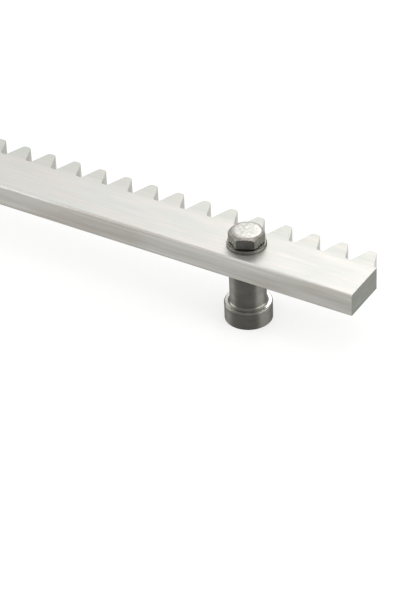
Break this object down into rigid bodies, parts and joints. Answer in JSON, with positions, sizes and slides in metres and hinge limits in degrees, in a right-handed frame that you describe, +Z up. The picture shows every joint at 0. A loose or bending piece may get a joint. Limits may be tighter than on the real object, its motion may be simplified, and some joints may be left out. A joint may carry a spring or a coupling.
{
  "type": "gear rack",
  "caption": "Straight steel gear rack with teeth along one edge, held off its base by turned spacers with hexagon bolts and washers, to drive a sliding gate or carriage.",
  "frame": {"origin": "on the floor under the spacers' feet, below the middle of the bar's outline", "axes": "+X along the bar, +Y the way the teeth point, +Z up from the spacers' feet to the bolt heads"},
  "size_m": [0.5026, 0.03, 0.0417],
  "materials": {
    "zinc_plated_bar": "bright zinc-plated drawn steel, fine streaks along its length",
    "zinc_plated_bolt": "zinc-plated forged head, slightly mottled",
    "zinc_plated_washer": "zinc-plated stamped steel",
    "turned_steel_spacer": "turned steel with fine tool lines round it"
  },
  "bodies": {
    "root": {"rack_bar": "zinc_plated_bar", "hex_bolt_1": "zinc_plated_bolt", "flat_washer_1": "zinc_plated_washer", "spacer_1": "turned_steel_spacer", "hex_bolt_2": "zinc_plated_bolt", "flat_washer_2": "zinc_plated_washer", "spacer_2": "turned_steel_spacer"}
  },
  "joints": []
}
